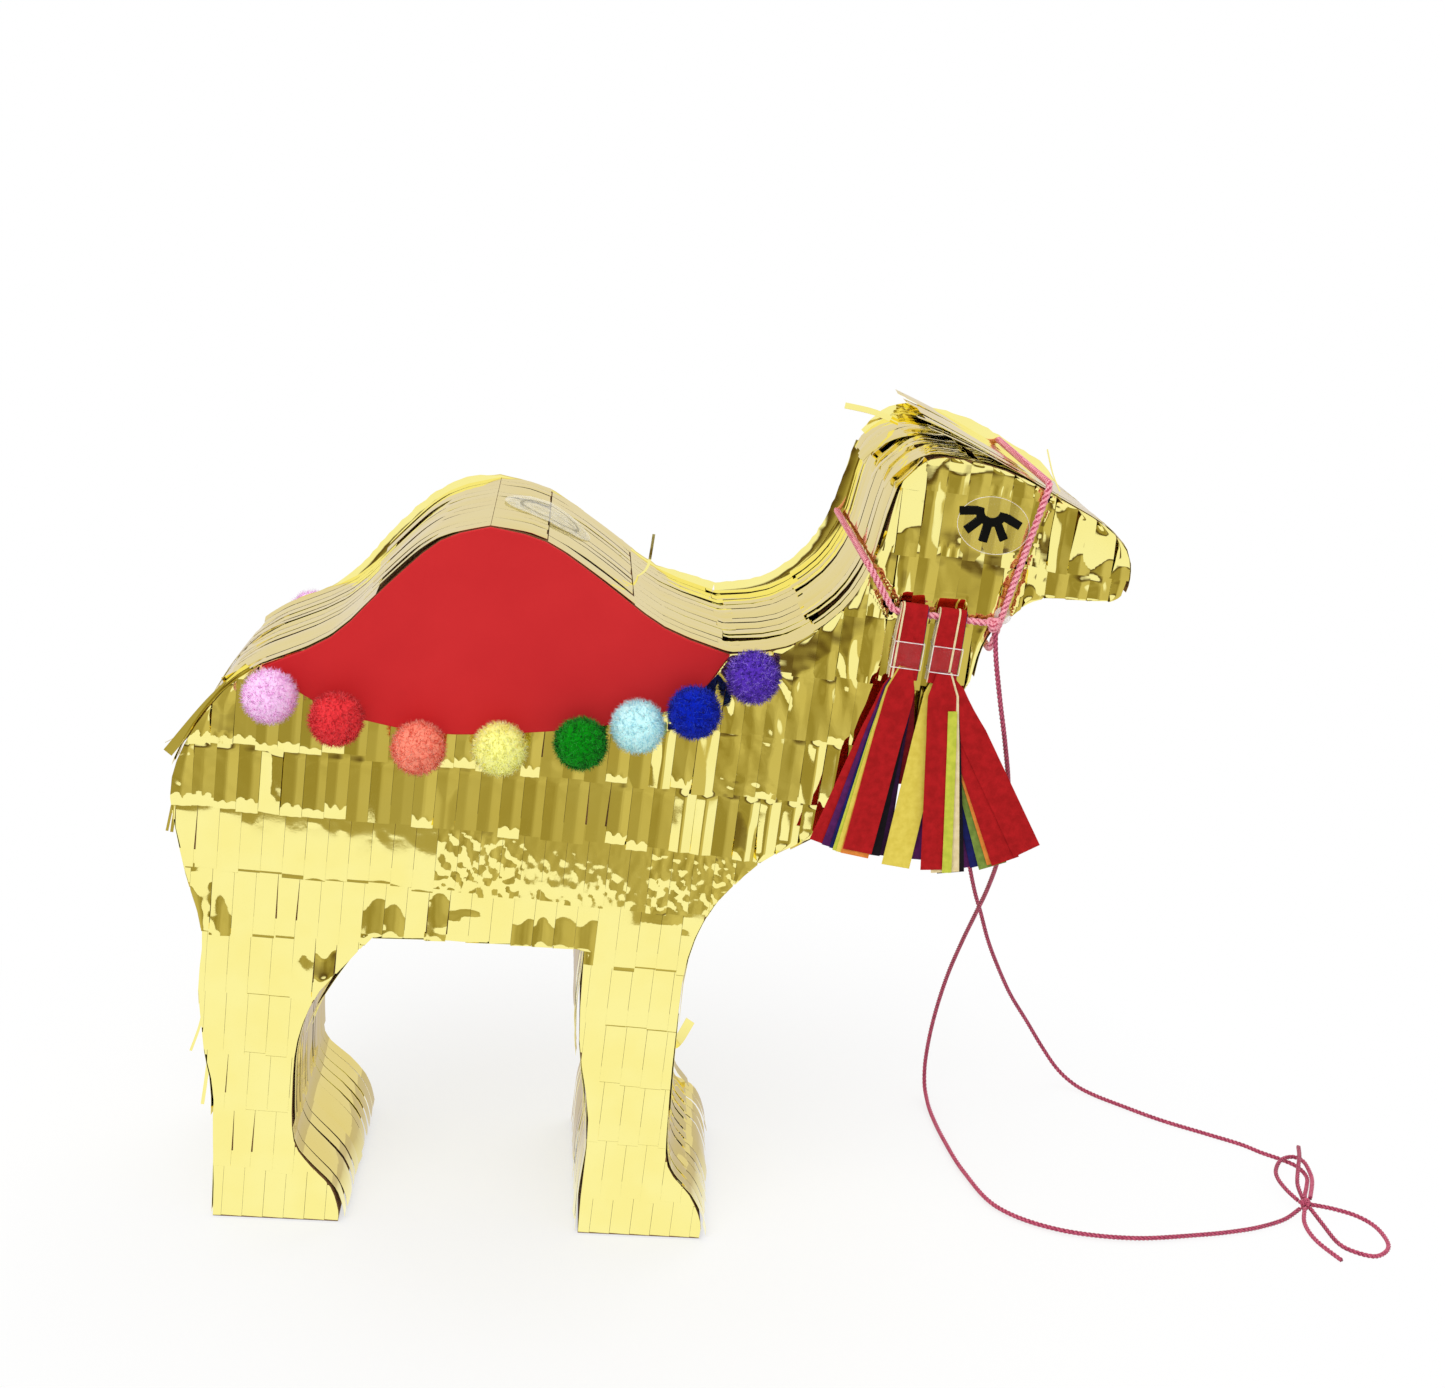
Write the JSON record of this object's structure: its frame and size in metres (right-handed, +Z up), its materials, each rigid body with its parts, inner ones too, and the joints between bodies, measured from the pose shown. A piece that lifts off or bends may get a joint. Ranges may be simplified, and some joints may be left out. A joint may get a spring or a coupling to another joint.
{
  "type": "camel pinata",
  "caption": "Hollow card camel pinata covered in gold foil fringe, with a filling flap, foam saddle edged with pompoms, cord halter with tissue tassels and a rein tied in a bow.",
  "frame": {"origin": "on the ground under the soles, at the middle of the length from rump to muzzle and of the width", "axes": "+X towards the muzzle, +Y towards the camel's left side, +Z up"},
  "size_m": [0.599, 0.2101, 0.3817],
  "materials": {
    "card": "matte",
    "foil": "polished",
    "foam_red": "matte",
    "pompom_pink": "matte",
    "pompom_red": "matte",
    "pompom_coral": "matte",
    "pompom_yellow": "matte",
    "pompom_green": "matte",
    "pompom_sky": "matte",
    "pompom_navy": "matte",
    "pompom_purple": "matte",
    "film_clear": "gloss",
    "lash_black": "satin",
    "cord_pink": "matte",
    "glue": "satin",
    "tissue_red": "matte",
    "tape_clear": "gloss"
  },
  "bodies": {
    "camel": {"right_side_panel": "card", "left_side_panel": "card", "rump_strip": "card", "rear_hump_strip": "card", "front_hump_strip": "card", "neck_strip": "card", "crown_strip": "card", "throat_strip": "card", "chest_strip": "card", "front_sole": "card", "fore_leg_strip": "card", "belly_strip": "card", "hind_leg_strip": "card", "rear_sole": "card", "rump_fringe": "foil", "hump_fringe": "foil", "neck_fringe": "foil", "crown_fringe": "foil", "throat_fringe": "foil", "chest_fringe": "foil", "belly_fringe": "foil", "right_head_fringe": "foil", "left_head_fringe": "foil", "right_body_fringe": "foil", "left_body_fringe": "foil", "right_fore_fringe": "foil", "left_fore_fringe": "foil", "right_hind_fringe": "foil", "left_hind_fringe": "foil", "right_saddle": "foam_red", "left_saddle": "foam_red", "pompom_pink": "pompom_pink", "pompom_red": "pompom_red", "pompom_coral": "pompom_coral", "pompom_yellow": "pompom_yellow", "pompom_green": "pompom_green", "pompom_sky": "pompom_sky", "pompom_navy": "pompom_navy", "pompom_purple": "pompom_purple", "eye_stickers": "film_clear", "eye_lashes": "lash_black", "noseband": "cord_pink", "neck_strap": "cord_pink", "halter_knots": "cord_pink", "glue_dabs": "glue", "rein_right": "cord_pink", "rein_left": "cord_pink", "rein_knot": "cord_pink", "rein_bow": "cord_pink"},
    "flap": {"fill_flap": "card", "flap_fringe": "foil", "seal_sticker": "film_clear"},
    "right_rear_tassel": {"right_rear_tassel": "tissue_red", "right_rear_tape": "tape_clear"},
    "right_front_tassel": {"right_front_tassel": "tissue_red", "right_front_tape": "tape_clear"},
    "left_rear_tassel": {"left_rear_tassel": "tissue_red", "left_rear_tape": "tape_clear"},
    "left_front_tassel": {"left_front_tassel": "tissue_red", "left_front_tape": "tape_clear"}
  },
  "joints": [
    {"name": "flap_hinge", "type": "hinge", "parent": "camel", "child": "flap", "pos_m": [-0.00869, 0, 0.30726], "axis": [0, 1, 0], "range_deg": [0, 110]},
    {"name": "right_rear_tassel_swing", "type": "hinge", "parent": "camel", "child": "right_rear_tassel", "pos_m": [0.11048, -0.06125, 0.31355], "axis": [0.9981, 0, -0.0614], "range_deg": [-75, 0]},
    {"name": "right_front_tassel_swing", "type": "hinge", "parent": "camel", "child": "right_front_tassel", "pos_m": [0.12745, -0.06125, 0.3125], "axis": [0.9981, 0, -0.0614], "range_deg": [-75, 0]},
    {"name": "left_rear_tassel_swing", "type": "hinge", "parent": "camel", "child": "left_rear_tassel", "pos_m": [0.11048, 0.06125, 0.31355], "axis": [0.9981, 0, -0.0614], "range_deg": [0, 75]},
    {"name": "left_front_tassel_swing", "type": "hinge", "parent": "camel", "child": "left_front_tassel", "pos_m": [0.12745, 0.06125, 0.3125], "axis": [0.9981, 0, -0.0614], "range_deg": [0, 75]}
  ]
}
